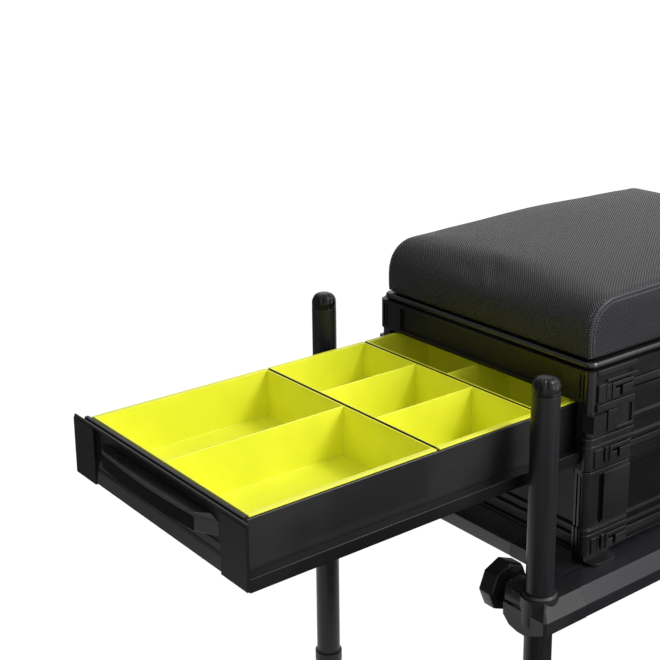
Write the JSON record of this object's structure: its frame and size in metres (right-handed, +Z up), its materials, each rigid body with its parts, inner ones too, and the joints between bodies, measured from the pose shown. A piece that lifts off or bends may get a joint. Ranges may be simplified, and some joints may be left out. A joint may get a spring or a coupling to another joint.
{
  "type": "fishing seat box",
  "caption": "Stacked seat box with padded seat and open drawer with lift-out inserts, standing in a frame on clamped telescopic legs.",
  "frame": {"origin": "on the ground, in the middle of the length and width with the drawer open", "axes": "+Z up; +Y from the open drawer to the back of the box; +X to the side that shows in the picture"},
  "size_m": [0.428, 1.0556, 0.6015],
  "materials": {
    "frame_rail": "satin dark grey",
    "casting": "satin dark grey",
    "leg_black": "satin black",
    "inner_leg": "satin",
    "box_plastic": "fine matt charcoal",
    "drawer_plastic": "smooth satin charcoal",
    "insert_lime": "satin lime yellow",
    "gloss_black": "gloss black",
    "lid_black": "gloss black",
    "leatherette": "fine woven-grain leatherette, black",
    "foot_rubber": "matt black",
    "steel": "brushed"
  },
  "bodies": {
    "frame": {"rail_left": "frame_rail", "rail_right": "frame_rail", "rail_front": "frame_rail", "rail_rear": "frame_rail", "corner_casting_front_left": "casting", "corner_casting_front_right": "casting", "corner_casting_rear_left": "casting", "corner_casting_rear_right": "casting", "base_corner_front_left": "box_plastic", "base_corner_front_right": "box_plastic", "base_corner_rear_left": "box_plastic", "base_corner_rear_right": "box_plastic", "base_wall_left": "box_plastic", "base_wall_right": "box_plastic", "base_wall_front": "box_plastic", "base_wall_rear": "box_plastic", "base_floor": "box_plastic", "unit_side_left": "box_plastic", "unit_side_right": "box_plastic", "unit_floor": "box_plastic", "unit_rear": "box_plastic", "seat_tray": "box_plastic", "hinge_pin": "steel"},
    "drawer": {"drawer_shell": "drawer_plastic", "drawer_front": "drawer_plastic", "drawer_handle": "drawer_plastic", "runner_left": "drawer_plastic", "runner_right": "drawer_plastic", "insert_rear": "insert_lime"},
    "insert_front": {"insert_front": "insert_lime"},
    "insert_middle": {"insert_middle": "insert_lime"},
    "lid": {"seat_lid": "lid_black", "seat_cushion": "leatherette"},
    "leg_front_left": {"leg_tube_front_left": "leg_black", "leg_cap_front_left": "gloss_black"},
    "inner_leg_front_left": {"inner_leg_front_left": "inner_leg"},
    "foot_front_left": {"foot_front_left": "foot_rubber"},
    "knob_front_left": {"clamp_knob_front_left": "gloss_black"},
    "leg_front_right": {"leg_tube_front_right": "leg_black", "leg_cap_front_right": "gloss_black"},
    "inner_leg_front_right": {"inner_leg_front_right": "inner_leg"},
    "foot_front_right": {"foot_front_right": "foot_rubber"},
    "knob_front_right": {"clamp_knob_front_right": "gloss_black"},
    "leg_rear_left": {"leg_tube_rear_left": "leg_black", "leg_cap_rear_left": "gloss_black"},
    "inner_leg_rear_left": {"inner_leg_rear_left": "inner_leg"},
    "foot_rear_left": {"foot_rear_left": "foot_rubber"},
    "knob_rear_left": {"clamp_knob_rear_left": "gloss_black"},
    "leg_rear_right": {"leg_tube_rear_right": "leg_black", "leg_cap_rear_right": "gloss_black"},
    "inner_leg_rear_right": {"inner_leg_rear_right": "inner_leg"},
    "foot_rear_right": {"foot_rear_right": "foot_rubber"},
    "knob_rear_right": {"clamp_knob_rear_right": "gloss_black"},
    "latch_base_left": {"latch_base_left": "box_plastic"},
    "latch_base_right": {"latch_base_right": "box_plastic"},
    "latch_unit_left": {"latch_unit_left": "box_plastic"},
    "latch_unit_right": {"latch_unit_right": "box_plastic"},
    "latch_seat_left": {"latch_seat_left": "box_plastic"},
    "latch_seat_right": {"latch_seat_right": "box_plastic"}
  },
  "joints": [
    {"name": "drawer_slide", "type": "slide", "parent": "frame", "child": "drawer", "axis": [0, 1, 0], "range_m": [0, 0.4305]},
    {"name": "insert_front_lift", "type": "slide", "parent": "drawer", "child": "insert_front", "axis": [0, 0, -1], "range_m": [-0.06, 0]},
    {"name": "insert_middle_lift", "type": "slide", "parent": "drawer", "child": "insert_middle", "axis": [0, 0, -1], "range_m": [-0.06, 0]},
    {"name": "lid_hinge", "type": "hinge", "parent": "frame", "child": "lid", "pos_m": [0, 0.42225, 0.5235], "axis": [-1, 0, 0], "range_deg": [0, 95]},
    {"name": "leg_slide_front_left", "type": "slide", "parent": "frame", "child": "leg_front_left", "axis": [0, 0, 1], "range_m": [-0.2, 0.2]},
    {"name": "inner_leg_slide_front_left", "type": "slide", "parent": "leg_front_left", "child": "inner_leg_front_left", "axis": [0, 0, -1], "range_m": [0, 0.15]},
    {"name": "foot_tilt_front_left", "type": "hinge", "parent": "inner_leg_front_left", "child": "foot_front_left", "pos_m": [-0.184, -0.16225, 0.014], "axis": [1, 0, 0], "range_deg": [-15, 15]},
    {"name": "knob_turn_front_left", "type": "hinge", "parent": "frame", "child": "knob_front_left", "pos_m": [-0.13, -0.16225, 0.287], "axis": [1, 0, 0], "continuous": true},
    {"name": "leg_slide_front_right", "type": "slide", "parent": "frame", "child": "leg_front_right", "axis": [0, 0, 1], "range_m": [-0.2, 0.2]},
    {"name": "inner_leg_slide_front_right", "type": "slide", "parent": "leg_front_right", "child": "inner_leg_front_right", "axis": [0, 0, -1], "range_m": [0, 0.15]},
    {"name": "foot_tilt_front_right", "type": "hinge", "parent": "inner_leg_front_right", "child": "foot_front_right", "pos_m": [0.184, -0.16225, 0.014], "axis": [1, 0, 0], "range_deg": [-15, 15]},
    {"name": "knob_turn_front_right", "type": "hinge", "parent": "frame", "child": "knob_front_right", "pos_m": [0.13, -0.16225, 0.287], "axis": [1, 0, 0], "continuous": true},
    {"name": "leg_slide_rear_left", "type": "slide", "parent": "frame", "child": "leg_rear_left", "axis": [0, 0, 1], "range_m": [-0.2, 0.2]},
    {"name": "inner_leg_slide_rear_left", "type": "slide", "parent": "leg_rear_left", "child": "inner_leg_rear_left", "axis": [0, 0, -1], "range_m": [0, 0.15]},
    {"name": "foot_tilt_rear_left", "type": "hinge", "parent": "inner_leg_rear_left", "child": "foot_rear_left", "pos_m": [-0.184, 0.49775, 0.014], "axis": [1, 0, 0], "range_deg": [-15, 15]},
    {"name": "knob_turn_rear_left", "type": "hinge", "parent": "frame", "child": "knob_rear_left", "pos_m": [-0.13, 0.49775, 0.287], "axis": [1, 0, 0], "continuous": true},
    {"name": "leg_slide_rear_right", "type": "slide", "parent": "frame", "child": "leg_rear_right", "axis": [0, 0, 1], "range_m": [-0.2, 0.2]},
    {"name": "inner_leg_slide_rear_right", "type": "slide", "parent": "leg_rear_right", "child": "inner_leg_rear_right", "axis": [0, 0, -1], "range_m": [0, 0.15]},
    {"name": "foot_tilt_rear_right", "type": "hinge", "parent": "inner_leg_rear_right", "child": "foot_rear_right", "pos_m": [0.184, 0.49775, 0.014], "axis": [1, 0, 0], "range_deg": [-15, 15]},
    {"name": "knob_turn_rear_right", "type": "hinge", "parent": "frame", "child": "knob_rear_right", "pos_m": [0.13, 0.49775, 0.287], "axis": [1, 0, 0], "continuous": true},
    {"name": "latch_base_left_slide", "type": "slide", "parent": "frame", "child": "latch_base_left", "axis": [0, 1, 0], "range_m": [0, 0.008]},
    {"name": "latch_base_right_slide", "type": "slide", "parent": "frame", "child": "latch_base_right", "axis": [0, 1, 0], "range_m": [0, 0.008]},
    {"name": "latch_unit_left_slide", "type": "slide", "parent": "frame", "child": "latch_unit_left", "axis": [0, 1, 0], "range_m": [0, 0.008]},
    {"name": "latch_unit_right_slide", "type": "slide", "parent": "frame", "child": "latch_unit_right", "axis": [0, 1, 0], "range_m": [0, 0.008]},
    {"name": "latch_seat_left_slide", "type": "slide", "parent": "frame", "child": "latch_seat_left", "axis": [0, 1, 0], "range_m": [0, 0.008]},
    {"name": "latch_seat_right_slide", "type": "slide", "parent": "frame", "child": "latch_seat_right", "axis": [0, 1, 0], "range_m": [0, 0.008]}
  ]
}
